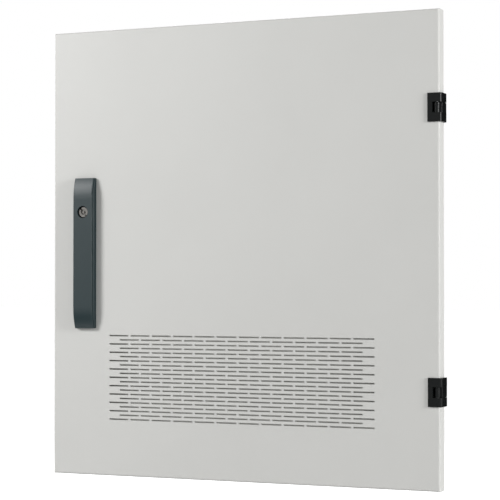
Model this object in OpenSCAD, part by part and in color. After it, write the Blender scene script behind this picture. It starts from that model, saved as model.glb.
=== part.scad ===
// Sheet-steel door for a rack cabinet: a folded pan with a field of vent slots,
// a lift-and-turn handle that drives two latch rods through a rack and pinion,
// and two block hinges that plug into notches of the pan's edge.
// X runs to the right seen from the front, Y towards the cabinet and Z up.
// The origin is on the cabinet, in the middle of the lower hinge's two screw holes.

/* [Door panel] */
// Width over the side flanges
door_w = 550; // [460:1:800]
// Height over the top and bottom flanges
door_h = 600; // [560:1:1000]
// Depth of the pan, from its face to the back of its lips
door_d = 20; // [20:0.5:26]
// Thickness of the door sheet
sheet_t = 1.5; // [1:0.1:2]
// Outside radius of the sheet's bends
bend_r = 2.5; // [2.1:0.1:3.5]
// Width of the lips that turn in at the back
lip_w = 12; // [8:0.5:13]

/* [Vent field] */
// Slots in a long row
vent_cols = 12; // [4:1:12]
// Rows of slots, the long and the short ones together
vent_rows = 21; // [5:2:21]
// Distance from one slot to the next in a row
slot_pitch = 31.8; // [20:0.1:32]
// Distance from one row to the next
row_pitch = 5.6; // [4:0.1:6]
// Length of a slot
slot_l = 28.8; // [10:0.1:29.5]
// Height of a slot
slot_h = 2; // [1:0.1:3]
// Height of the lowest row over the door's bottom edge
vent_z = 76; // [70:1:90]

/* [Vent baffle] */
// Thickness of the baffle's sheet
baffle_t = 1; // [0.8:0.1:1.5]
// Inside radius of the baffle's bends
baffle_r = 1; // [0.5:0.1:1.5]
// Clear depth between the door sheet and the baffle
baffle_depth = 14.5; // [8:0.5:15]
// How far the baffle reaches past the slots on each side
baffle_over = 9; // [6:1:12]
// Width of the baffle's feet
foot_w = 14; // [12:0.5:16]

/* [Edge seal] */
// Distance from the door's edge to the seal
seal_inset = 14; // [13.5:0.5:16]
// Width of the seal
seal_w = 10; // [6:0.5:10]
// Thickness of the seal
seal_t = 7; // [4:0.5:8]

/* [Handle] */
// Length of the handle
handle_l = 203; // [190:1:240]
// Width of the handle
handle_w = 31; // [31:0.5:36]
// Distance from the door's free edge to the middle of the handle
handle_x = 50; // [48:0.5:60]
// How far the middle of the handle lies below the door's
handle_low = 1; // [0:0.5:6]
// How far the handle stands out of the door
handle_h = 10.5; // [10:0.1:13]
// Length of the handle's curved ends
bow_l = 28; // [24:1:34]
// How far the handle's front drops at its ends
front_drop = 5; // [4.5:0.1:5.4]
// How far the dish and the lever's underside drop at their ends
back_drop = 1.2; // [1:0.1:1.4]
// Height of the dish that the lever lies on
dish_h = 2.4; // [2.2:0.1:2.6]
// Gap between the dish and the lever's underside
lever_gap = 0.7; // [0.6:0.1:0.9]
// Height of the pad on the lever's front
pad_h = 2; // [1.5:0.1:2.2]
// Width of the ledge beside the pad
ledge_w = 1.2; // [0.8:0.1:1.5]
// Radius of the pad's long edges
pad_edge_r = 0.8; // [0.4:0.1:1]
// Wall of the lever's hollow underside
lever_wall = 2.2; // [1.8:0.1:2.4]

/* [Handle pivot] */
// Distance from the handle's bottom end to the spindle
spindle_u = 34; // [32:0.5:40]
// Distance from the handle's bottom end to the lever's pivot pin
pivot_u = 4.2; // [4:0.1:4.6]
// Height of the pivot pin over the door's face
pivot_h = 4; // [3.95:0.05:4.1]
// Radius of the pivot pin
pivot_r = 1.1; // [1:0.1:1.2]
// Radius of the cradle's eye
eye_r = 1.8; // [1.7:0.05:1.8]
// Width of the cradle's arm
arm_w = 15.6; // [12:0.2:16]
// Angle that the lever lifts
lift_deg = 30; // [20:1:30]
// Radius of the turret in the dish
turret_r = 12; // [10:0.5:12]
// Radius of the spindle's neck
neck_r = 7; // [6.8:0.1:7.5]
// Side of the spindle's square end
square_w = 9; // [8:0.1:9]

/* [Key lock] */
// Distance from the handle's top end to the lock
lock_from_top = 46; // [42:0.5:60]
// Radius of the lock's recess
lock_r = 8.2; // [8:0.1:9]
// Depth of the lock's face below the lever's front
lock_recess = 2.4; // [1:0.1:2.6]
// Radius of the turning plug
plug_r = 6.6; // [6:0.1:6.8]
// Radius of the key's socket
socket_r = 3.6; // [3:0.1:4]
// Radius of the pin in the middle of the socket
key_pin_r = 1.6; // [1.2:0.1:1.8]
// Width of the socket's two wings
wing_w = 2.4; // [2:0.1:3]
// Angle of the wings at rest, from level
wing_deg = 48; // [40:1:50]
// Length of the lock's cam from its axis
cam_l = 12.4; // [10:0.1:12.5]

/* [Latch] */
// Module of the pinion and racks
gear_m = 1.5; // [1.4:0.01:1.55]
// Teeth of the pinion, a multiple of four
gear_teeth = 12; // [12:4:12]
// Width of a latch rod behind its teeth
rod_back = 9.4; // [8:0.1:9.6]
// Thickness of the latch rods
rod_t = 3; // [2:0.1:3]
// Depth of the rods' front face behind the door's face
rod_y = 12; // [12:0.1:12.5]
// Distance from a rod's tip to the door's edge
rod_inset = 23; // [20:0.5:30]
// Distance from the door's edge to the middle of a rod guide
guide_inset = 62; // [50:1:80]
// Half the height of the latch case
case_half = 26; // [25.5:0.5:28]
// Wall of the latch case
case_wall = 2.2; // [1.8:0.1:2.6]
// Distance from the spindle to the case's screws
case_screw_z = 18; // [17.5:0.1:18.5]

/* [Hinges] */
// Distance from the door's top and bottom edges to the hinges
hinge_inset = 123; // [110:1:160]
// Height of a hinge
hinge_h = 36; // [34:0.5:40]
// Height of the middle knuckle's window
window_h = 13.4; // [12:0.1:14]
// Width of the plate on the door's face
hinge_face_w = 15; // [14:0.5:17]
// Thickness of that plate
hinge_face_t = 1.7; // [1.2:0.1:2]
// Thickness of the cheek outside the flange
cheek_t = 3.2; // [3:0.1:3.4]
// Distance from the hinge's axis to the door's face and edge
axis_inset = 4.5; // [4.5:0.1:5]
// Radius of the middle knuckle
knuckle_r = 4; // [3.8:0.1:4.1]
// Radius of the hinge pin
hinge_pin_r = 2; // [1.5:0.1:2.1]
// Width of the notch in the door's face
notch_w = 9.7; // [9.7:0.1:10.2]
// Gap between the closed door's back and the cabinet
cabinet_gap = 3.5; // [3.5:0.1:5]
// Thickness of the leaf on the cabinet
frame_leaf_t = 2; // [1.8:0.1:2]
// Distance between the two screw holes of a frame leaf
mount_pitch = 24; // [20:0.5:26]
// Radius of the screw holes of a frame leaf
mount_hole_r = 2.25; // [2:0.05:2.5]

/* [Fasteners] */
// Radius of the small screws and studs
screw_r = 2; // [1.5:0.05:2.1]
// Radius of the earth stud
earth_r = 3; // [2.5:0.1:3]

/* [Fits] */
// Gap between parts that pass each other
part_gap = 0.3; // [0.3:0.05:0.35]
// Radial gap of a shaft that turns in its bore
running_gap = 0.05; // [0.03:0.01:0.08]
// Radial gap of a screw or stud in a plain hole
hole_gap = 0.25; // [0.2:0.05:0.4]

/* [Hidden] */
$fn = 64;
cut = 1; // how far a cutting solid runs past the face that it cuts

steel_grey = [0.81, 0.81, 0.79];
black = [0.09, 0.09, 0.1];
slate = [0.27, 0.31, 0.32];
zinc = [0.72, 0.73, 0.75];
foam = [0.2, 0.2, 0.21];
brass = [0.78, 0.66, 0.36];
guide_white = [0.88, 0.88, 0.85];

// vent field
row_l = (vent_cols - 1) * slot_pitch + slot_l;
field_x = (door_w - row_l) / 2;
field_top = vent_z + (vent_rows - 1) * row_pitch;

// baffle
baffle_x = field_x - baffle_over;
baffle_w = row_l + 2 * baffle_over;
baffle_z = vent_z - baffle_over;
baffle_l = field_top - vent_z + 2 * baffle_over;
stud_inset = 15;
stud_l = 10;

// handle
handle_z = (door_h - handle_l) / 2 - handle_low;
spindle_z = handle_z + spindle_u;
lever_h = dish_h + lever_gap;
bow_r = (bow_l * bow_l + front_drop * front_drop) / (2 * front_drop);
bow_sweep = 30;
ledge_h = handle_h - pad_h;
pad_w = handle_w - 2 * ledge_w;
roof_h = handle_h - lever_wall;
pocket_w = handle_w - 2 * lever_wall;
cradle_w = arm_w + 2 * part_gap;
turret_top = dish_h + part_gap;
arm_top = roof_h - 1;
cradle_skin = 1.4;
arm_rise = 6;
arm_tail = 10;
arm_neck = [14, 22];
arm_step = 0.7;
relief_r = eye_r + part_gap;
dish_screw_u = handle_l - 24;
boss_r = 4;
boss_depth = sheet_t;
dish_washer_t = 1;
turret_sink = 0.4;

// lock
lock_u = handle_l - lock_from_top;
lock_face = handle_h - lock_recess;
cam_t = 1.2;
cam_w = 8;
cam_h = lever_h + part_gap;
cam_square = 5;
cam_tip_r = 2;
cam_end_r = 3.4;
socket_floor = 0.9;
plug_back = cam_h + cam_t;
lock_body_back = plug_back + part_gap;
socket_depth = lock_face - plug_back - socket_floor;

// latch
pitch_r = gear_m * gear_teeth / 2;
pressure = 25;
addendum = 0.9 * gear_m;
dedendum = 1.07 * gear_m;
backlash = 0.1;
tooth_pitch = PI * gear_m;
stroke = pitch_r * PI / 2;
rod_edge = pitch_r + dedendum;
rod_outer = rod_edge + rod_back;
rod_end = 1.5 * tooth_pitch + 1.8;
rod_tip_r = 3;
rod_tip_t = 1.2;
rod_slope = 12;
case_y = sheet_t;
cover_y = rod_y + rod_t + part_gap;
cover_t = 2;
case_half_w = rod_outer + part_gap + case_wall;
bush_y = 6;
pinion_y0 = rod_y - 0.2;
pinion_y1 = rod_y + rod_t;
spindle_end = cover_y + cover_t + 0.5;
washer_t = 1.4;

// hinges
axis_x = door_w - axis_inset;
axis_y = axis_inset;
outer_x = door_w + cheek_t;
block_half = hinge_h / 2 - 1.2;
notch_half = hinge_h / 2 - 1;
block_back = axis_inset + 4.5;
cheek_back = door_d - 0.8;
notch_back = door_d - 3;
clamp_t = 2;
clamp_half = 26;
clamp_y = (block_back + notch_back) / 2 + 0.2;
clamp_w = 7;
hinge_screw_z = (window_h / 2 + block_half) / 2;
hinge_tap_skin = 0.6;
pin_tail = 1.5;
pin_head_t = 1.2;
tab_y = door_d + cabinet_gap - frame_leaf_t;
tab_w = 19;
leg_x = door_w + part_gap;
leaf_x = leg_x + frame_leaf_t;
leg_tip_r = 1;
window_wall = 0.8;
mount_x = door_w - 8.5;
mount_y = door_d + cabinet_gap;
mount_z = hinge_inset;

// small parts
seal_corner_r = 4;
earth_inset = 50;
earth_l = 16;
earth_washer_t = 1.2;
guide_half = 8;
guide_wall = 3;
guide_foot_t = 3;
journal_r = square_w * sqrt(2) / 2 + 0.7;
square_gap = 0.1;
spindle_screw_r = 2.5;
spindle_tap = 8;
tap_h = 1.4;
recess_u = 62;
recess_l = 110;
cradle_end = spindle_u + 17;
lock_bay = lock_u - cam_l - 2.5;
grip_bays = 3;
rib_t = 1.8;
pin_end = arm_w / 2 + 5;

// ---- helpers ----

// Places what is drawn from the door's lower left front corner
module at_door() {
  translate([-mount_x, -mount_y, -mount_z]) children();
}

// Places what is drawn from the handle's bottom end, on the door's face
module at_handle() {
  at_door() translate([handle_x, 0, handle_z]) children();
}

// Places what is drawn from the spindle's axis, on the door's face
module at_spindle() {
  at_door() translate([handle_x, 0, spindle_z]) children();
}

// Places what is drawn from a hinge's middle height, seen from above
module at_hinge(z) {
  at_door() translate([0, 0, z]) children();
}

// A round bar along Y
module along_y(r, y0, y1) {
  translate([0, y0, 0]) rotate([-90, 0, 0]) cylinder(r = r, h = y1 - y0);
}

// Extrudes a side view along X: its first axis runs up and its second one out of the door
module side_view(w) {
  rotate([180, -90, 0]) linear_extrude(w, center = true) children();
}

// Extrudes a front view, drawn in X and Z, from depth y0 to y1
module front_view(y0, y1) {
  translate([0, y1, 0]) rotate([90, 0, 0]) linear_extrude(y1 - y0) children();
}

// A rectangle with round corners, from its lower left corner
module rounded_rect(w, h, r) {
  union() {
    translate([r, 0]) square([w - 2 * r, h]);
    translate([0, r]) square([w, h - 2 * r]);
    for (x = [r, w - r], y = [r, h - r]) translate([x, y]) circle(r);
  }
}

// A quarter of a bend: outside radius r, thickness t, in the first quadrant
module bend(r, t) {
  intersection() {
    difference() {
      circle(r);
      circle(r - t);
    }
    square(r);
  }
}

// Side view of a bar of height h whose ends drop in an arc; it runs a little past the handle's ends
module bowed(h, drop) {
  r = (bow_l * bow_l + drop * drop) / (2 * drop);
  translate([bow_l, 0]) square([handle_l - 2 * bow_l, h]);
  for (u = [bow_l, handle_l - bow_l]) intersection() {
    translate([u, h - r]) circle(r, $fn = 256);
    translate([u == bow_l ? -cut : u, 0]) square([bow_l + cut, h]);
  }
}

// ---- door ----

module pan_block(inset, r) {
  w = door_w - 2 * inset;
  d = door_d - 2 * inset;
  h = door_h - 2 * inset;
  translate([inset, inset, inset]) intersection() {
    linear_extrude(h) rounded_rect(w, d, r);
    rotate([90, 0, 90]) linear_extrude(w) rounded_rect(d, h, r);
  }
}

module vent_slots() {
  for (row = [0 : vent_rows - 1]) {
    short = row % 2;
    for (col = [0 : vent_cols - 1 - short])
      translate([field_x + (col + short / 2) * slot_pitch, -cut, vent_z + row * row_pitch - slot_h / 2])
        cube([slot_l, sheet_t + 2 * cut, slot_h]);
  }
}

module door_panel() {
  color(steel_grey) at_door() difference() {
    pan_block(0, bend_r);
    pan_block(sheet_t, bend_r - sheet_t);
    translate([lip_w, door_d / 2, lip_w]) cube([door_w - 2 * lip_w, door_d, door_h - 2 * lip_w]);
    vent_slots();
    for (z = [hinge_inset, door_h - hinge_inset])
      translate([door_w - notch_w, -cut, z - notch_half]) cube([notch_w + cut, notch_back + cut, 2 * notch_half]);
    translate([handle_x, 0, spindle_z]) along_y(neck_r + part_gap, -cut, sheet_t + cut);
    for (z = [spindle_z - case_screw_z, spindle_z + case_screw_z, handle_z + dish_screw_u])
      translate([handle_x, 0, z]) along_y(boss_r + hole_gap, -cut, sheet_t + cut);
  }
}

module edge_seal() {
  inner = seal_inset + seal_w;
  color(foam) at_door() front_view(sheet_t, sheet_t + seal_t) difference() {
    translate([seal_inset, seal_inset])
      rounded_rect(door_w - 2 * seal_inset, door_h - 2 * seal_inset, seal_w + seal_corner_r);
    translate([inner, inner]) rounded_rect(door_w - 2 * inner, door_h - 2 * inner, seal_corner_r);
  }
}

// Half of the baffle's section, seen from above: foot, leg and the plate's edge
module baffle_half() {
  outer = baffle_r + baffle_t;
  translate([-foot_w, 0]) square([foot_w - baffle_r, baffle_t]);
  translate([-baffle_r, outer]) rotate(-90) bend(outer, baffle_t);
  translate([0, outer]) square([baffle_t, baffle_depth - 2 * baffle_r - baffle_t]);
  translate([outer, baffle_depth - baffle_r]) rotate(90) bend(outer, baffle_t);
  translate([outer, baffle_depth]) square([baffle_w / 2 - outer, baffle_t]);
}

// Places something on each of the baffle's four studs
module on_baffle_studs() {
  for (x = [baffle_x - foot_w / 2, baffle_x + baffle_w + foot_w / 2])
    for (z = [baffle_z + stud_inset, baffle_z + baffle_l - stud_inset])
      translate([x, sheet_t, z]) children();
}

// Places something on the stud of each rod guide
module on_guide_studs() {
  for (z = [guide_inset, door_h - guide_inset]) translate([handle_x, sheet_t, z]) children();
}

module vent_baffle() {
  color(steel_grey) at_door() difference() {
    translate([baffle_x, sheet_t, baffle_z]) linear_extrude(baffle_l) {
      baffle_half();
      translate([baffle_w, 0]) mirror([1, 0]) baffle_half();
    }
    on_baffle_studs() along_y(screw_r + hole_gap, -cut, baffle_t + cut);
  }
}

module weld_studs() {
  color(zinc) at_door() {
    on_baffle_studs() along_y(screw_r, 0, stud_l);
    on_guide_studs() along_y(screw_r, 0, stud_l);
  }
}

// A hexagon nut along Y with its face on y = 0
module nut(bore_r) {
  width = 3.5 * bore_r;
  height = 1.6 * bore_r;
  rotate([-90, 0, 0]) difference() {
    cylinder(r = width / 2 / cos(30), h = height, $fn = 6);
    translate([0, 0, -cut]) cylinder(r = bore_r, h = height + 2 * cut);
  }
}

// A flat washer along Y with its face on y = 0
module washer(outer_r, bore_r, t) {
  difference() {
    along_y(outer_r, 0, t);
    along_y(bore_r, -cut, t + cut);
  }
}

// A low-head socket screw along Y: its head stands on y = 0 and its shank runs towards -Y
module screw(r, shank) {
  head = r;
  difference() {
    union() {
      along_y(r, -shank, head / 4);
      along_y(1.8 * r, 0, head);
    }
    translate([0, head / 2, 0]) rotate([-90, 0, 0]) cylinder(r = 0.9 * r, h = head, $fn = 6);
  }
}

module baffle_nuts() {
  color(zinc) at_door() on_baffle_studs() translate([0, baffle_t, 0]) nut(screw_r);
}

module guide_nuts() {
  color(zinc) at_door() on_guide_studs() translate([0, guide_foot_t, 0]) nut(screw_r);
}

module at_earth(y) {
  at_door() translate([door_w - earth_inset, sheet_t + y, earth_inset]) children();
}

module earth_stud() {
  color(brass) at_earth(0) along_y(earth_r, 0, earth_l);
}

module earth_washer() {
  color(brass) at_earth(0) washer(2 * earth_r, earth_r + hole_gap, earth_washer_t);
}

module earth_nut() {
  color(brass) at_earth(earth_washer_t) nut(earth_r);
}

// ---- hinges ----

// Plan of the shell that hugs the door's corner from outside
module hinge_shell() {
  corner_r = cheek_t + 0.7;
  difference() {
    union() {
      translate([door_w - hinge_face_w, -hinge_face_t])
        square([hinge_face_w + cheek_t - corner_r, hinge_face_t + corner_r]);
      translate([outer_x - corner_r, corner_r - hinge_face_t]) circle(corner_r);
      translate([outer_x - corner_r, corner_r - hinge_face_t])
        square([corner_r, cheek_back + hinge_face_t - corner_r]);
    }
    rounded_rect(door_w, door_d, bend_r);
  }
}

// Plan of the block that fills the notch of the pan's edge
module hinge_block() {
  back = notch_back - hole_gap;
  translate([door_w - notch_w + hole_gap, -cut / 2]) square([notch_w + cut / 2 - hole_gap, block_back + cut / 2]);
  translate([door_w - sheet_t, 0]) square([sheet_t + cut / 2, back]);
}

module hinge_door_leaf(z) {
  tap = sheet_t + cheek_t - hinge_tap_skin;
  color(black) at_hinge(z) difference() {
    union() {
      translate([0, 0, -hinge_h / 2]) linear_extrude(hinge_h) hinge_shell();
      translate([0, 0, -block_half]) linear_extrude(2 * block_half) hinge_block();
    }
    translate([door_w - notch_w + window_wall, -hinge_face_t - cut, -window_h / 2])
      cube([notch_w + cheek_t + cut, door_d + hinge_face_t + 2 * cut, window_h]);
    translate([axis_x, axis_y, -hinge_h]) cylinder(r = hinge_pin_r + running_gap, h = 2 * hinge_h);
    for (side = [-1, 1])
      translate([door_w - sheet_t - cut, clamp_y, side * hinge_screw_z])
        rotate([0, 90, 0]) cylinder(r = screw_r, h = tap + cut);
  }
}

module hinge_clamp(z) {
  color(zinc) at_hinge(z) difference() {
    translate([door_w - sheet_t - clamp_t, clamp_y - clamp_w / 2, -clamp_half])
      cube([clamp_t, clamp_w, 2 * clamp_half]);
    for (side = [-1, 1])
      translate([door_w - sheet_t - clamp_t - cut, clamp_y, side * hinge_screw_z])
        rotate([0, 90, 0]) cylinder(r = screw_r + hole_gap, h = clamp_t + 2 * cut);
  }
}

module hinge_screws() {
  shank = clamp_t + sheet_t + cheek_t - hinge_tap_skin - 0.2;
  color(zinc) at_door() for (z = [hinge_inset, door_h - hinge_inset], side = [-1, 1])
    translate([door_w - sheet_t - clamp_t, clamp_y, z + side * hinge_screw_z])
      rotate([0, 0, 90]) screw(screw_r, shank);
}

// Plan of the frame leaf's arm: the knuckle, the leg past the door's flange and the bend behind it
module leaf_arm() {
  back = tab_y + frame_leaf_t;
  fillet = 1.5;
  translate([axis_x, axis_y]) circle(knuckle_r);
  translate([axis_x, axis_y]) square([leaf_x - leg_tip_r - axis_x, knuckle_r]);
  translate([leaf_x - leg_tip_r, axis_y + leg_tip_r]) circle(leg_tip_r);
  translate([leg_x, axis_y + leg_tip_r]) square([frame_leaf_t, tab_y - axis_y - leg_tip_r]);
  intersection() {
    translate([leg_x, tab_y]) circle(frame_leaf_t);
    translate([leg_x, tab_y]) square(frame_leaf_t);
  }
  translate([leaf_x - tab_w, tab_y]) square([leg_x - leaf_x + tab_w, frame_leaf_t]);
  difference() {
    translate([leg_x - fillet, tab_y - fillet]) square(fillet);
    translate([leg_x - fillet, tab_y - fillet]) circle(fillet);
  }
}

module hinge_frame_leaf(z) {
  half = window_h / 2 - part_gap;
  color(black) at_hinge(z) difference() {
    union() {
      translate([0, 0, -half]) linear_extrude(2 * half) leaf_arm();
      translate([leaf_x - tab_w, tab_y, -hinge_h / 2]) cube([leg_x - leaf_x + tab_w, frame_leaf_t, hinge_h]);
    }
    translate([axis_x, axis_y, -hinge_h]) cylinder(r = hinge_pin_r, h = 2 * hinge_h);
    for (side = [-1, 1])
      translate([mount_x, 0, side * mount_pitch / 2]) along_y(mount_hole_r, tab_y - cut, mount_y + cut);
  }
}

module hinge_pin(z) {
  head_r = axis_inset - sheet_t - part_gap;
  pin_l = 2 * block_half + pin_tail + part_gap;
  color(zinc) at_hinge(z) translate([axis_x, axis_y, -block_half - pin_tail]) {
    cylinder(r = hinge_pin_r, h = pin_l + pin_head_t / 2);
    translate([0, 0, pin_l]) cylinder(r = head_r, h = pin_head_t);
  }
}

module upper_hinge_door_leaf() {
  hinge_door_leaf(door_h - hinge_inset);
}

module lower_hinge_door_leaf() {
  hinge_door_leaf(hinge_inset);
}

module upper_hinge_frame_leaf() {
  hinge_frame_leaf(door_h - hinge_inset);
}

module lower_hinge_frame_leaf() {
  hinge_frame_leaf(hinge_inset);
}

module upper_hinge_pin() {
  hinge_pin(door_h - hinge_inset);
}

module lower_hinge_pin() {
  hinge_pin(hinge_inset);
}

module upper_hinge_clamp() {
  hinge_clamp(door_h - hinge_inset);
}

module lower_hinge_clamp() {
  hinge_clamp(hinge_inset);
}

// ---- handle ----

// Front view of the handle, to cut its corners round
module handle_outline(y0, y1) {
  front_view(y0, y1) translate([-handle_w / 2, 0]) rounded_rect(handle_w, handle_l, 1);
}

module handle_dish() {
  rim = 2;
  floor_h = 1.2;
  color(slate) at_handle() difference() {
    union() {
      intersection() {
        side_view(handle_w) bowed(dish_h, back_drop);
        handle_outline(-handle_h, 0);
      }
      for (u = [spindle_u - case_screw_z, spindle_u + case_screw_z, dish_screw_u])
        translate([0, 0, u]) along_y(boss_r, -floor_h, boss_depth);
    }
    translate([0, 0, spindle_u]) along_y(turret_r + part_gap, -handle_h, cut);
    translate([rim - handle_w / 2, -handle_h, recess_u]) cube([handle_w - 2 * rim, handle_h - floor_h, recess_l]);
    for (u = [spindle_u - case_screw_z, spindle_u + case_screw_z, dish_screw_u])
      translate([0, 0, u]) along_y(screw_r, -tap_h, boss_depth + cut);
  }
}

// The lever's cross-section: its first axis is X and its second one the height
module lever_section() {
  body_r = 0.6;
  low = dish_h;
  for (side = [-1, 1]) {
    translate([side * (handle_w / 2 - body_r), ledge_h - body_r]) circle(body_r);
    translate([side * (pad_w / 2 - pad_edge_r), handle_h - pad_edge_r]) circle(pad_edge_r);
  }
  translate([-handle_w / 2, low]) square([handle_w, ledge_h - body_r - low]);
  translate([body_r - handle_w / 2, low]) square([handle_w - 2 * body_r, ledge_h - low]);
  translate([-pad_w / 2, low]) square([pad_w, handle_h - pad_edge_r - low]);
  translate([pad_edge_r - pad_w / 2, low]) square([pad_w - 2 * pad_edge_r, handle_h - low]);
}

// The lower end of the lever: its section swept round the arc of the bow
module lever_end() {
  translate([0, bow_r - handle_h, bow_l]) rotate([-90, 0, -90])
    rotate_extrude(angle = bow_sweep, $fn = 256)
      translate([bow_r - handle_h, 0]) rotate(-90) lever_section();
}

module lever_blank() {
  intersection() {
    union() {
      translate([0, 0, handle_l / 2]) rotate([180, 0, 0])
        linear_extrude(handle_l - 2 * bow_l, center = true) lever_section();
      lever_end();
      translate([0, 0, handle_l]) mirror([0, 0, 1]) lever_end();
    }
    handle_outline(-handle_h - cut, 0);
  }
}

// The stretch u0 to u1 of the lever's wide hollow
module lever_hollow(u0, u1) {
  side_view(pocket_w) intersection() {
    bowed(roof_h, front_drop);
    translate([u0, 0]) square([u1 - u0, handle_h]);
  }
}

module lever_pockets() {
  side_view(cradle_w) {
    intersection() {
      bowed(handle_h - cradle_skin, front_drop);
      translate([pivot_u, 0]) square([cradle_end - pivot_u, handle_h]);
    }
    translate([pivot_u, pivot_h]) circle(relief_r);
  }
  bay = (lock_bay - cradle_end) / grip_bays;
  for (i = [0 : grip_bays - 1])
    lever_hollow(cradle_end + i * bay + rib_t, cradle_end + (i + 1) * bay);
  difference() {
    lever_hollow(lock_bay + rib_t, lock_u + cam_l + 1.5);
    translate([0, 0, lock_u]) along_y(lock_r + 2, -handle_h, -lock_body_back);
  }
}

module lever() {
  color(slate) at_handle() difference() {
    lever_blank();
    side_view(handle_w + cut) bowed(lever_h, back_drop);
    lever_pockets();
    translate([0, 0, lock_u]) along_y(lock_r, -handle_h - cut, 0);
    translate([-handle_w, -pivot_h, pivot_u])
      rotate([0, 90, 0]) cylinder(r = pivot_r, h = handle_w + pin_end + hole_gap);
    translate([-handle_w, -pivot_h, pivot_u]) rotate([-lift_deg, 0, 0])
      translate([0, relief_r + running_gap, -bow_l / 2]) cube([2 * handle_w, handle_h, bow_l / 2]);
  }
}

module lever_pivot_pin() {
  head_x = part_gap - handle_w / 2;
  color(zinc) at_handle() translate([head_x, -pivot_h, pivot_u])
    rotate([0, 90, 0]) cylinder(r = pivot_r, h = pin_end - head_x);
}

// Side view of the cradle's arm, from the pivot's eye to the turret
module cradle_arm() {
  translate([pivot_u, pivot_h]) circle(eye_r);
  polygon([
    [pivot_u, pivot_h - eye_r / 2],
    [pivot_u + arm_rise, turret_top],
    [spindle_u + arm_tail, turret_top],
    [spindle_u + arm_tail, arm_top],
    [spindle_u - arm_neck[0], arm_top],
    [spindle_u - arm_neck[1], arm_top - arm_step],
    [pivot_u, pivot_h + eye_r / 2]
  ]);
}

module handle_spindle() {
  color(zinc) at_handle() difference() {
    union() {
      side_view(arm_w) cradle_arm();
      translate([0, 0, spindle_u]) {
        along_y(turret_r, -turret_top, -turret_sink);
        along_y(neck_r, -turret_top, bush_y);
        translate([-square_w / 2, bush_y - cut, -square_w / 2])
          cube([square_w, spindle_end - bush_y + cut, square_w]);
      }
    }
    translate([-handle_w, -pivot_h, pivot_u])
      rotate([0, 90, 0]) cylinder(r = pivot_r + running_gap, h = 2 * handle_w);
    translate([0, 0, spindle_u]) along_y(spindle_screw_r, spindle_end - spindle_tap - 1, spindle_end + cut);
  }
}

// ---- key lock ----

module at_lock() {
  at_handle() translate([0, 0, lock_u]) children();
}

module lock_housing() {
  color(black) at_lock() difference() {
    along_y(lock_r, -lock_face, -lock_body_back);
    along_y(plug_r + running_gap, -lock_face - cut, -lock_body_back + cut);
  }
}

module lock_plug() {
  depth_y = -lock_face + socket_depth;
  color(zinc) at_lock() {
    difference() {
      along_y(plug_r, -lock_face, -plug_back);
      along_y(socket_r, -lock_face - cut, depth_y);
      rotate([0, wing_deg, 0]) translate([-plug_r - cut, -lock_face - cut, -wing_w / 2])
        cube([2 * (plug_r + cut), socket_depth + cut, wing_w]);
    }
    along_y(key_pin_r, -lock_face, depth_y + cut / 2);
    translate([-cam_square / 2, -plug_back - cut / 4, -cam_square / 2]) cube([cam_square, cam_t + cut / 4, cam_square]);
    along_y(cam_end_r, -cam_h, -lever_h);
  }
}

module lock_cam() {
  color(zinc) at_lock() front_view(-plug_back, -cam_h) difference() {
    union() {
      circle(plug_r - 1);
      translate([-cam_w / 2, 0]) square([cam_w, cam_l - cam_tip_r]);
      translate([cam_tip_r - cam_w / 2, 0]) square([cam_w - 2 * cam_tip_r, cam_l]);
      for (side = [-1, 1]) translate([side * (cam_w / 2 - cam_tip_r), cam_l - cam_tip_r]) circle(cam_tip_r);
    }
    translate([-cam_square / 2, -cam_square / 2]) square(cam_square);
  }
}

// ---- handle fixing ----

module dish_washer() {
  color(zinc) at_handle() translate([0, sheet_t, dish_screw_u]) washer(1.6 * boss_r, screw_r + hole_gap, dish_washer_t);
}

module dish_screw() {
  color(zinc) at_handle() translate([0, sheet_t + dish_washer_t, dish_screw_u])
    screw(screw_r, sheet_t + dish_washer_t + tap_h - part_gap);
}

// ---- latch ----

module latch_case() {
  pocket_r = pitch_r + addendum + 0.5;
  channel_x = pitch_r - addendum - 0.4;
  channel_w = rod_outer + part_gap - channel_x;
  channel_end = rod_end + stroke + 0.9;
  color(black) at_spindle() difference() {
    translate([-case_half_w, case_y, -case_half]) cube([2 * case_half_w, cover_y - case_y, 2 * case_half]);
    along_y(neck_r + running_gap, case_y - cut, bush_y + cut);
    along_y(pocket_r, bush_y, cover_y + cut);
    for (turn = [0, 180]) rotate([0, turn, 0])
      translate([channel_x, rod_y - part_gap, -channel_end])
        cube([channel_w, rod_t + 2 * part_gap + cut, channel_end + case_half + cut]);
    case_screw_holes(case_y, cover_y);
  }
}

module case_screw_holes(y0, y1) {
  for (side = [-1, 1]) translate([0, 0, side * case_screw_z]) along_y(screw_r + hole_gap, y0 - cut, y1 + cut);
}

module latch_cover() {
  color(black) at_spindle() difference() {
    translate([-case_half_w, cover_y, -case_half]) cube([2 * case_half_w, cover_t, 2 * case_half]);
    along_y(journal_r + running_gap, cover_y - cut, cover_y + cover_t + cut);
    case_screw_holes(cover_y, cover_y + cover_t);
  }
}

module case_screws() {
  color(zinc) at_spindle() for (side = [-1, 1])
    translate([0, cover_y + cover_t, side * case_screw_z]) screw(screw_r, cover_y + cover_t + tap_h - part_gap);
}

// Involute: the angle that the flank has turned at radius r of a base circle b
function flank_turn(r, b) = let(a = acos(b / r)) tan(a) * 180 / PI - a;

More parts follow.
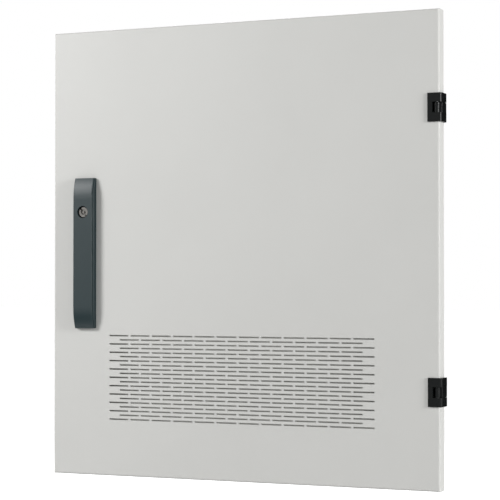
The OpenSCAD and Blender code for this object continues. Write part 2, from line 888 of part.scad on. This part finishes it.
module pinion_outline() {
  base = pitch_r * cos(pressure);
  root = pitch_r - dedendum;
  tip = pitch_r + addendum;
  steps = 6;
  half = 90 / gear_teeth - backlash / pitch_r * 90 / PI + flank_turn(pitch_r, base);
  flank = [for (i = [0 : steps]) let(r = base + (tip - base) * i / steps) [r, half - flank_turn(r, base)]];
  profile = concat([[root - cut, half]], flank);
  circle(root);
  for (i = [0 : gear_teeth - 1]) rotate((i + 0.5) * 360 / gear_teeth) polygon(concat(
    [for (p = profile) [p[0] * cos(p[1]), p[0] * sin(p[1])]],
    [for (k = [len(profile) - 1 : -1 : 0]) let(p = profile[k]) [p[0] * cos(p[1]), -p[0] * sin(p[1])]]
  ));
}

module latch_pinion() {
  side = square_w + 2 * square_gap;
  color(zinc) at_spindle() difference() {
    union() {
      front_view(pinion_y0, pinion_y1) pinion_outline();
      along_y(journal_r, bush_y + part_gap, spindle_end - 0.1);
    }
    translate([-side / 2, 0, -side / 2]) cube([side, spindle_end + cut, side]);
  }
}

module spindle_washer() {
  color(zinc) at_spindle() translate([0, spindle_end, 0]) washer(journal_r + 2, spindle_screw_r + hole_gap, washer_t);
}

module spindle_screw() {
  color(zinc) at_spindle() translate([0, spindle_end + washer_t, 0]) screw(spindle_screw_r, washer_t + spindle_tap);
}

// A latch rod with its rack, the spindle's axis at the origin and its tip at z = reach
module latch_rod(reach) {
  half = tooth_pitch / 4 - backlash / 2;
  tip_half = half - addendum * tan(pressure);
  root_half = half + dedendum * tan(pressure);
  depth = rod_t - rod_tip_t;
  difference() {
    front_view(rod_y, rod_y + rod_t) {
      translate([rod_edge, -rod_end]) square([rod_back, rod_end + reach - rod_tip_r]);
      translate([rod_edge + rod_tip_r, 0]) square([rod_back - 2 * rod_tip_r, reach]);
      for (x = [rod_edge + rod_tip_r, rod_outer - rod_tip_r]) translate([x, reach - rod_tip_r]) circle(rod_tip_r);
      for (k = [-1 : gear_teeth / 4 + 1]) translate([pitch_r, k * tooth_pitch]) polygon([
        [-addendum, -tip_half],
        [dedendum, -root_half],
        [dedendum + cut, -root_half],
        [dedendum + cut, root_half],
        [dedendum, root_half],
        [-addendum, tip_half]
      ]);
    }
    translate([0, rod_y, reach]) rotate([90, 0, 90]) linear_extrude(rod_outer + cut)
      polygon([[-cut, -rod_slope * (1 + cut / depth)], [depth, 0], [depth, cut], [-cut, cut]]);
  }
}

module upper_latch_rod() {
  color(zinc) at_spindle() latch_rod(door_h - rod_inset - spindle_z);
}

module lower_latch_rod() {
  color(zinc) at_spindle() rotate([0, 180, 0]) latch_rod(spindle_z - rod_inset);
}

// A rod guide: a bridge over the rod and a foot on its stud, which is at the origin
module rod_guide() {
  x0 = rod_edge - guide_wall;
  x1 = rod_outer + guide_wall;
  back = rod_y + rod_t + guide_wall;
  color(guide_white) difference() {
    union() {
      translate([x0, sheet_t, -guide_half]) cube([x1 - x0, back - sheet_t, 2 * guide_half]);
      translate([-guide_half, sheet_t, -guide_half]) cube([x0 + guide_half + cut, guide_foot_t, 2 * guide_half]);
    }
    translate([rod_edge - part_gap, rod_y - part_gap, -guide_half - cut])
      cube([rod_back + 2 * part_gap, rod_t + 2 * part_gap, 2 * (guide_half + cut)]);
    translate([x0 + guide_wall, sheet_t - cut, -guide_half + guide_wall])
      cube([rod_back, rod_y - sheet_t - guide_wall + cut, 2 * (guide_half - guide_wall)]);
    along_y(screw_r + hole_gap, sheet_t - cut, sheet_t + guide_foot_t + cut);
  }
}

module upper_rod_guide() {
  at_door() translate([handle_x, 0, door_h - guide_inset]) rod_guide();
}

module lower_rod_guide() {
  at_door() translate([handle_x, 0, guide_inset]) rotate([0, 180, 0]) rod_guide();
}

door_panel();
edge_seal();
vent_baffle();
weld_studs();
baffle_nuts();
earth_stud();
earth_washer();
earth_nut();
upper_hinge_door_leaf();
lower_hinge_door_leaf();
upper_hinge_frame_leaf();
lower_hinge_frame_leaf();
upper_hinge_pin();
lower_hinge_pin();
upper_hinge_clamp();
lower_hinge_clamp();
hinge_screws();
handle_dish();
dish_screw();
dish_washer();
handle_spindle();
lever();
lever_pivot_pin();
lock_housing();
lock_plug();
lock_cam();
latch_case();
latch_cover();
case_screws();
latch_pinion();
spindle_washer();
spindle_screw();
upper_latch_rod();
lower_latch_rod();
upper_rod_guide();
lower_rod_guide();
guide_nuts();
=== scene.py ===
# %% [markdown]
# # A perforated rack door, dressed for rendering
# The door arrives as a fixed frame of engineering solids: a folded sheet-steel pan, a swing
# handle, two block hinges, and the latch behind. Those solids already have the right shapes,
# so this lesson keeps them and gives each one the finish that its real surface has.
# We load them first, and keep their box, which places the floor and the lamps.

# %% Load the frame
import math

import bpy
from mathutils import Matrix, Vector


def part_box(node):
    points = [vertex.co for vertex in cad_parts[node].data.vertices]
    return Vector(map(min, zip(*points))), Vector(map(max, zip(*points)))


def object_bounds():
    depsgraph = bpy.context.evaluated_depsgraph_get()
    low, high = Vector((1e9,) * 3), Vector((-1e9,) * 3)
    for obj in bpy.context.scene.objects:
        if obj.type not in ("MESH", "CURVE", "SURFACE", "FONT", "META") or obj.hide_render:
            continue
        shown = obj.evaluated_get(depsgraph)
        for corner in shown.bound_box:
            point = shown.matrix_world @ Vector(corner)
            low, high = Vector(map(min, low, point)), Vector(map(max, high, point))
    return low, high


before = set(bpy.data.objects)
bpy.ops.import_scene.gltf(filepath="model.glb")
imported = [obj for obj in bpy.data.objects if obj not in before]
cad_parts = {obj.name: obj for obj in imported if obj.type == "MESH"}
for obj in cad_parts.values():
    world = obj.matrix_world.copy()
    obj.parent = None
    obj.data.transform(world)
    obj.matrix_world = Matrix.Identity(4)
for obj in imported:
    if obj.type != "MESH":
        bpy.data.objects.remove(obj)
cad_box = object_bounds()
print("nodes:", len(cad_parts), "box:", cad_box)

# %% [markdown]
# ## Two helpers
# Paint makers give a colour as a hex code, which is in sRGB, while Blender's shaders count in
# linear light. One function turns the first into the second. The other adds one shader node
# with its settings and its links, so a material reads as a short recipe.

# %% Helpers
MM = 0.001


def linear(code):
    """A hex colour such as #C5C7C4 as linear red, green, blue and alpha."""
    parts = [int(code[i:i + 2], 16) / 255 for i in (1, 3, 5)]
    return [c / 12.92 if c <= 0.04045 else ((c + 0.055) / 1.055) ** 2.4 for c in parts] + [1.0]


def add(tree, kind, sockets=(), **settings):
    """A new node. Settings are its properties. A socket takes a value, or another's output."""
    made = tree.nodes.new(kind)
    for name, value in settings.items():
        setattr(made, name, value)
    for name, value in dict(sockets).items():
        if isinstance(value, bpy.types.NodeSocket):
            tree.links.new(value, made.inputs[name])
        else:
            made.inputs[name].default_value = value
    return made


def new_material(name):
    """An empty material with its output node, and the tree that they are in."""
    material = bpy.data.materials.new(name)
    material.use_nodes = True
    material.node_tree.nodes.clear()
    return material, material.node_tree


def deselect():
    """Nothing selected, so the next operator acts only on what it makes."""
    bpy.ops.object.select_all(action="DESELECT")


def wear(nodes, material):
    """Gives one material to each named CAD node."""
    for name in nodes:
        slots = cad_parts[name].data.materials
        slots.clear()
        slots.append(material)
    print(material.name, "on", ", ".join(nodes))


# %% [markdown]
# ## Powder coat
# The pan, the baffle, the handle and the hinges are all powder coated: dry paint is blown on,
# then melted in an oven. It flows a little before it sets, which leaves the skin of an orange,
# with waves a few millimetres long and a few hundredths high, and a finer grit on top.
# A picture could be painted on, but noise in the shader has no seams and any scale. The wave is
# real size; the grit, about 0.3 mm on a real coat, is drawn at 0.9 mm so that it shows.

# %% Powder coat
GRIT_MM = 0.9
GRIT_DEEP_MM = 0.05
CLOUDS_PER_METRE = 6.0
DRIFT = 0.015  # how much lighter or darker the coat gets from cloud to cloud
NOISE_LOW, NOISE_HIGH = 0.3, 0.7  # most of a noise texture's values lie between these


def powder_coat(name, code, roughness, wave_mm, wave_deep_mm, grit, specular=0.5):
    """Baked powder paint: a nearly even colour, and orange peel and grit in bump and gloss."""
    material, tree = new_material(name)
    place = add(tree, "ShaderNodeTexCoord").outputs["Object"]
    peel = add(tree, "ShaderNodeTexNoise", {
        "Vector": place, "Scale": 1 / (wave_mm * MM), "Detail": 2.0})
    grain = add(tree, "ShaderNodeTexNoise", {
        "Vector": place, "Scale": 1 / (GRIT_MM * MM), "Detail": 1.0})
    cloud = add(tree, "ShaderNodeTexNoise", {
        "Vector": place, "Scale": CLOUDS_PER_METRE, "Detail": 3.0})
    tone = add(tree, "ShaderNodeMapRange", {
        "Value": cloud.outputs["Fac"], "From Min": NOISE_LOW, "From Max": NOISE_HIGH,
        "To Min": 1 - DRIFT, "To Max": 1 + DRIFT})
    paint = add(tree, "ShaderNodeMix", {
        "Factor": 1.0, "A": linear(code), "B": tone.outputs["Result"]},
        data_type="RGBA", blend_type="MULTIPLY")
    waves = add(tree, "ShaderNodeBump", {
        "Height": peel.outputs["Fac"], "Strength": 1.0, "Distance": wave_deep_mm * MM})
    rough_skin = add(tree, "ShaderNodeBump", {
        "Height": grain.outputs["Fac"], "Strength": grit, "Distance": GRIT_DEEP_MM * MM,
        "Normal": waves.outputs["Normal"]})
    gloss = add(tree, "ShaderNodeMapRange", {
        "Value": grain.outputs["Fac"], "From Min": NOISE_LOW, "From Max": NOISE_HIGH,
        "To Min": roughness - 0.04, "To Max": roughness + 0.06})
    skin = add(tree, "ShaderNodeBsdfPrincipled", {
        "Base Color": paint.outputs["Result"], "Roughness": gloss.outputs["Result"],
        "Specular IOR Level": specular, "Normal": rough_skin.outputs["Normal"]})
    add(tree, "ShaderNodeOutputMaterial", {"Surface": skin.outputs["BSDF"]})
    return material


print("grit", GRIT_MM, "mm wide and", GRIT_DEEP_MM, "mm high")

# %% [markdown]
# ## The painted pieces
# The pan and its baffle share one satin, light grey coat. The handle's dish and lever are a
# smoother anthracite, and the hinge blocks are black and mirror little. Each could have nodes of
# its own, but a coat is one process, so the three are one recipe with other numbers.

# %% The painted pieces
door_paint = powder_coat("light_grey_powder_coat", "#CECECB", 0.5,
                         wave_mm=4.5, wave_deep_mm=0.03, grit=0.2, specular=0.4)
handle_paint = powder_coat("anthracite_powder_coat", "#1F2E31", 0.32,
                           wave_mm=3.0, wave_deep_mm=0.02, grit=0.2, specular=0.4)
hinge_paint = powder_coat("black_powder_coat", "#0E1010", 0.3,
                          wave_mm=3.0, wave_deep_mm=0.01, grit=0.12, specular=0.14)
wear(["door_panel", "vent_baffle"], door_paint)
wear(["handle_dish", "lever"], handle_paint)
wear(["upper_hinge_door_leaf", "lower_hinge_door_leaf", "upper_hinge_frame_leaf",
      "lower_hinge_frame_leaf"], hinge_paint)

# %% [markdown]
# ## Bare and plated metal
# Screws, nuts, studs and rods are steel with a thin coat of bright zinc: pale, slightly blue,
# with patches where the bath took more or less. The spindle and pinion are zinc castings that
# were tumbled, so they are duller and finely pitted. Hinge pins are ground steel, and the earth
# parts are plain brass. A metal's colour sits in its reflection, so one recipe does for all
# four: what tells them apart is the tint, the roughness and the fine relief.

# %% Metals
def metal(name, code, tint_code, roughness, patch_mm, pit_mm, pit_deep_mm):
    """A metal whose colour and gloss drift in patches, with fine pits."""
    material, tree = new_material(name)
    place = add(tree, "ShaderNodeTexCoord").outputs["Object"]
    patch = add(tree, "ShaderNodeTexNoise", {
        "Vector": place, "Scale": 1 / (patch_mm * MM), "Detail": 4.0})
    pits = add(tree, "ShaderNodeTexNoise", {
        "Vector": place, "Scale": 1 / (pit_mm * MM), "Detail": 2.0})
    tone = add(tree, "ShaderNodeMix", {
        "Factor": patch.outputs["Fac"], "A": linear(code), "B": linear(tint_code)},
        data_type="RGBA")
    gloss = add(tree, "ShaderNodeMapRange", {
        "Value": patch.outputs["Fac"], "From Min": NOISE_LOW, "From Max": NOISE_HIGH,
        "To Min": roughness - 0.06, "To Max": roughness + 0.08})
    relief = add(tree, "ShaderNodeBump", {
        "Height": pits.outputs["Fac"], "Strength": 1.0, "Distance": pit_deep_mm * MM})
    skin = add(tree, "ShaderNodeBsdfPrincipled", {
        "Base Color": tone.outputs["Result"], "Roughness": gloss.outputs["Result"],
        "Metallic": 1.0, "Normal": relief.outputs["Normal"]})
    add(tree, "ShaderNodeOutputMaterial", {"Surface": skin.outputs["BSDF"]})
    return material


zinc_plate = metal("bright_zinc_plate", "#C3C7CC", "#B5BBBF", 0.3,
                   patch_mm=9, pit_mm=0.8, pit_deep_mm=0.01)
pin_steel = metal("ground_steel", "#BDBEC0", "#B0B1B4", 0.24,
                  patch_mm=6, pit_mm=0.5, pit_deep_mm=0.005)
cast_zinc = metal("tumbled_zinc_casting", "#A3A4A6", "#8F9093", 0.42,
                  patch_mm=5, pit_mm=0.9, pit_deep_mm=0.03)
earth_brass = metal("plain_brass", "#D9B56A", "#C9A254", 0.28,
                    patch_mm=7, pit_mm=0.8, pit_deep_mm=0.01)
wear(["weld_studs", "baffle_nuts", "guide_nuts", "upper_hinge_clamp", "lower_hinge_clamp",
      "hinge_screws", "dish_screw", "dish_washer", "lock_cam", "case_screws", "spindle_washer",
      "spindle_screw", "upper_latch_rod", "lower_latch_rod"], zinc_plate)
wear(["upper_hinge_pin", "lower_hinge_pin", "lever_pivot_pin"], pin_steel)
wear(["handle_spindle", "latch_pinion"], cast_zinc)
wear(["earth_stud", "earth_washer", "earth_nut"], earth_brass)

# %% [markdown]
# ## The turned lock plug
# The plug, which the key goes into, is turned on a lathe and then nickel plated. The tool leaves
# fine rings round its axis. Real ones are about 0.1 mm apart, too fine to show, so they are
# drawn coarser. A Wave texture makes rings, but round the door's origin, so a Mapping node moves
# them onto the plug, whose centre is worked out from its box. Its colour is painted far darker
# than nickel: a painted dark reflection that stands in for the dark surroundings the plug
# mirrors.

# %% The turned lock plug
RING_MM = 0.691
RING_DEEP_MM = 0.01
RING_UNITS = math.tau / 20  # a Wave texture's rings are this far apart at a scale of 1
lock_low, lock_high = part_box("lock_plug")
lock_centre = (lock_low + lock_high) / 2
print("lock plug's centre", lock_centre)


def turned_nickel_painted_dark(name):
    """Nickel plate over turned steel: fine rings round the lock's axis, in a colour painted dark
    as a painted dark reflection.
    """
    material, tree = new_material(name)
    place = add(tree, "ShaderNodeTexCoord").outputs["Object"]
    centred = add(tree, "ShaderNodeMapping", {"Vector": place, "Location": -lock_centre})
    rings = add(tree, "ShaderNodeTexWave", {
        "Vector": centred.outputs["Vector"], "Scale": RING_UNITS / (RING_MM * MM),
        "Distortion": 0.3},
        wave_type="RINGS", rings_direction="Y")
    relief = add(tree, "ShaderNodeBump", {
        "Height": rings.outputs["Fac"], "Strength": 1.0, "Distance": RING_DEEP_MM * MM})
    skin = add(tree, "ShaderNodeBsdfPrincipled", {
        # painted dark reflection: this base colour is far darker than real nickel, painted to
        # stand in for the dark surroundings the plug mirrors
        "Base Color": linear("#6C6A67"), "Roughness": 0.3, "Metallic": 1.0,
        "Normal": relief.outputs["Normal"]})
    add(tree, "ShaderNodeOutputMaterial", {"Surface": skin.outputs["BSDF"]})
    return material


wear(["lock_plug"], turned_nickel_painted_dark("turned_nickel_with_painted_dark_reflection"))

# %% [markdown]
# ## Moulded and foamed plastics
# The latch case is black nylon with glass fibre: matt, with short pale flecks where fibres come
# near the skin. The rod guides are plain nylon, milky and a little see-through at thin edges.
# The edge seal is a bead of foam with small closed cells. The lock's housing is a zinc casting
# under a dull black skin, which hides the metal. One recipe fits the four: a base colour, a
# second colour in specks, and a bump of the right grain.

# %% Plastics and foam
SPECK_LOW, SPECK_HIGH = 0.52, 0.72  # how strong the grain is where a speck starts and is full
LIGHT_DEEP_MM = 1.5  # how far light gets into the milky nylon


def moulded(name, code, speck_code, roughness, grain_mm, grain_deep_mm, milky=0.0,
            specular=0.5):
    """A skin that isn't bare metal, with a fine grain and faint specks of a second colour."""
    material, tree = new_material(name)
    place = add(tree, "ShaderNodeTexCoord").outputs["Object"]
    grain = add(tree, "ShaderNodeTexNoise", {
        "Vector": place, "Scale": 1 / (grain_mm * MM), "Detail": 3.0})
    speck = add(tree, "ShaderNodeMapRange", {
        "Value": grain.outputs["Fac"], "From Min": SPECK_LOW, "From Max": SPECK_HIGH})
    tone = add(tree, "ShaderNodeMix", {
        "Factor": speck.outputs["Result"], "A": linear(code), "B": linear(speck_code)},
        data_type="RGBA")
    relief = add(tree, "ShaderNodeBump", {
        "Height": grain.outputs["Fac"], "Strength": 1.0, "Distance": grain_deep_mm * MM})
    skin = add(tree, "ShaderNodeBsdfPrincipled", {
        "Base Color": tone.outputs["Result"], "Roughness": roughness,
        "Specular IOR Level": specular, "Subsurface Weight": milky,
        "Subsurface Scale": LIGHT_DEEP_MM * MM, "Normal": relief.outputs["Normal"]})
    add(tree, "ShaderNodeOutputMaterial", {"Surface": skin.outputs["BSDF"]})
    return material


case_nylon = moulded("black_glass_filled_nylon", "#17181A", "#2A2B2E", 0.5,
                     grain_mm=1.2, grain_deep_mm=0.02)
guide_nylon = moulded("natural_nylon", "#DAD8CC", "#D0CDBE", 0.42,
                      grain_mm=2.5, grain_deep_mm=0.01, milky=0.15)
seal_foam = moulded("closed_cell_foam", "#1B1C1E", "#2C2D30", 0.88,
                    grain_mm=1.6, grain_deep_mm=0.25)
lock_black = moulded("black_passivated_zinc", "#0B0C0C", "#101111", 0.4,
                     grain_mm=1.0, grain_deep_mm=0.005, specular=0.12)
wear(["latch_case", "latch_cover"], case_nylon)
wear(["upper_rod_guide", "lower_rod_guide"], guide_nylon)
wear(["edge_seal"], seal_foam)
wear(["lock_housing"], lock_black)

# %% [markdown]
# ## The floor
# The door hangs from its hinges, so the floor is well below it. The floor is pale and plain.
# A lamp strong enough to burn the floor out to white would burn out the paint as well, so the
# floor glows by itself for the camera, for reflections and through glass, but for no other ray:
# the glow lights nothing, and the door's shadow still shows.

# %% Floor
FLOOR_SIZE = 60
FLOOR_DROP = 0.25
FLOOR_GLOW = 0.92
low, high = cad_box
floor_z = low.z - FLOOR_DROP
deselect()
bpy.ops.mesh.primitive_plane_add(size=FLOOR_SIZE, location=(0, 0, floor_z))
floor = bpy.context.object
floor.name = "floor"


def seen(tree):
    """1 for a ray that shows the background: from the camera, off gloss or through glass."""
    path = add(tree, "ShaderNodeLightPath")
    glossy = add(tree, "ShaderNodeMath", {0: path.outputs["Is Camera Ray"],
                                          1: path.outputs["Is Glossy Ray"]}, operation="MAXIMUM")
    return add(tree, "ShaderNodeMath", {0: glossy.outputs["Value"],
                                        1: path.outputs["Is Transmission Ray"]},
               operation="MAXIMUM").outputs["Value"]


floor_finish, tree = new_material("pale_studio_floor")
glow = add(tree, "ShaderNodeMath", {0: seen(tree), 1: FLOOR_GLOW}, operation="MULTIPLY")
lift = add(tree, "ShaderNodeEmission", {
    "Color": linear("#FFFFFF"), "Strength": glow.outputs["Value"]})
matt = add(tree, "ShaderNodeBsdfDiffuse", {"Color": linear("#C8C8C8")})
both = add(tree, "ShaderNodeAddShader", {0: lift.outputs["Emission"], 1: matt.outputs["BSDF"]})
add(tree, "ShaderNodeOutputMaterial", {"Surface": both.outputs["Shader"]})
floor.data.materials.append(floor_finish)
print("floor", FLOOR_DROP, "m below the door")

# %% [markdown]
# ## The room's light
# A studio's walls are far away and pale. A wall could be modelled, but the world's background
# does as well and has no corners. It is white wherever it shows, and much dimmer as a light, so
# that the folds and the slots keep their shade.

# %% World
AMBIENT = 0.22
world = bpy.data.worlds.new("studio")
bpy.context.scene.world = world
world.use_nodes = True
tree = world.node_tree
tree.nodes.clear()
level = add(tree, "ShaderNodeMapRange", {"Value": seen(tree), "To Min": AMBIENT, "To Max": 1.0})
air = add(tree, "ShaderNodeBackground", {
    "Color": linear("#FFFFFF"), "Strength": level.outputs["Result"]})
add(tree, "ShaderNodeOutputWorld", {"Surface": air.outputs["Background"]})
print("world", AMBIENT, "as a light")

# %% [markdown]
# ## The lamps
# Three softboxes light the door, because a small lamp would draw hard shadows in every slot.
# The key stands in front and to the left, and looks a little past the middle. The side lamp
# lights the folded flange and the hinges, and the back lamp the latch and its rods.

# %% Lamps
def softbox(name, where, aim, size, watts):
    """A square area lamp at one point, turned to another."""
    lamp = bpy.data.lights.new(name, "AREA")
    lamp.size = size
    lamp.energy = watts
    holder = bpy.data.objects.new(name, lamp)
    bpy.context.scene.collection.objects.link(holder)
    holder.location = where
    holder.rotation_euler = (Vector(aim) - Vector(where)).to_track_quat("-Z", "Y").to_euler()
    print(name, watts, "W")


middle = (low + high) / 2
key_aim = middle + Vector((-0.1, 0, 0.1))
softbox("key", middle + Vector((-1.8, -1.5, 0.9)), key_aim, size=0.7, watts=46)
softbox("side", middle + Vector((2.5, -0.55, 0.4)), middle, size=0.7, watts=50)
softbox("back", middle + Vector((-0.8, 2.6, 1.2)), middle, size=1.6, watts=40)

# %% [markdown]
# ## Black cards
# Dark paint shows what stands around it more than its own colour. In a studio, black cards are
# stood where a glossy side would mirror the bright room: here one behind and to the right, for
# the cheeks of the hinges and the handle's flank, and one on the floor in front, for the
# handle's lower bow. They are seen only in reflections, so they throw no shadow on the door.
# A flank of the door mirrors the line of sight, and both cards are turned to face it.

# %% Black cards
MIRRORED = math.radians(-24)
OVER_FLOOR = 0.01
card_black, tree = new_material("black_card")
matt = add(tree, "ShaderNodeBsdfDiffuse", {"Color": linear("#060606")})
add(tree, "ShaderNodeOutputMaterial", {"Surface": matt.outputs["BSDF"]})


def card(name, where, turn, size):
    """A square card that only reflections see."""
    deselect()
    bpy.ops.mesh.primitive_plane_add(size=size, location=where, rotation=turn)
    made = bpy.context.object
    made.name = name
    made.data.materials.append(card_black)
    made.visible_camera = False
    made.visible_diffuse = False
    made.visible_shadow = False
    made.visible_transmission = False
    print(name, size, "m")


card("side_card", (0.75, 1.45, middle.z), turn=(math.radians(90), 0, MIRRORED), size=1.9)
card("floor_card", (-1.35, -1.45, floor_z + OVER_FLOOR), turn=(0, 0, MIRRORED), size=1.7)

# %% [markdown]
# ## The camera
# A long lens from the hinge side, at about the door's lower third: the near edge is then a
# little taller than the far one, and the upright edges stay nearly parallel. The camera could
# be turned by hand, but a yaw and a pitch say where it looks. Standard colours keep the paint
# about as light as it is written.

# %% Camera
LENS_MM = 125.5464
SENSOR_MM = 36
eye = Vector((0.6733, -2.0908, 0.1338))
yaw, pitch = math.radians(24.032), math.radians(1.13)
level_ahead = Vector((-math.sin(yaw), math.cos(yaw), 0))
ahead = level_ahead * math.cos(pitch) + Vector((0, 0, math.sin(pitch)))
lens = bpy.data.cameras.new("camera")
lens.sensor_width = SENSOR_MM
lens.lens = LENS_MM
camera = bpy.data.objects.new("camera", lens)
bpy.context.scene.collection.objects.link(camera)
camera.location = eye
camera.rotation_euler = ahead.to_track_quat("-Z", "Y").to_euler()
bpy.context.scene.camera = camera
bpy.context.scene.view_settings.view_transform = "Standard"
print("lens", round(lens.lens, 1), "mm")
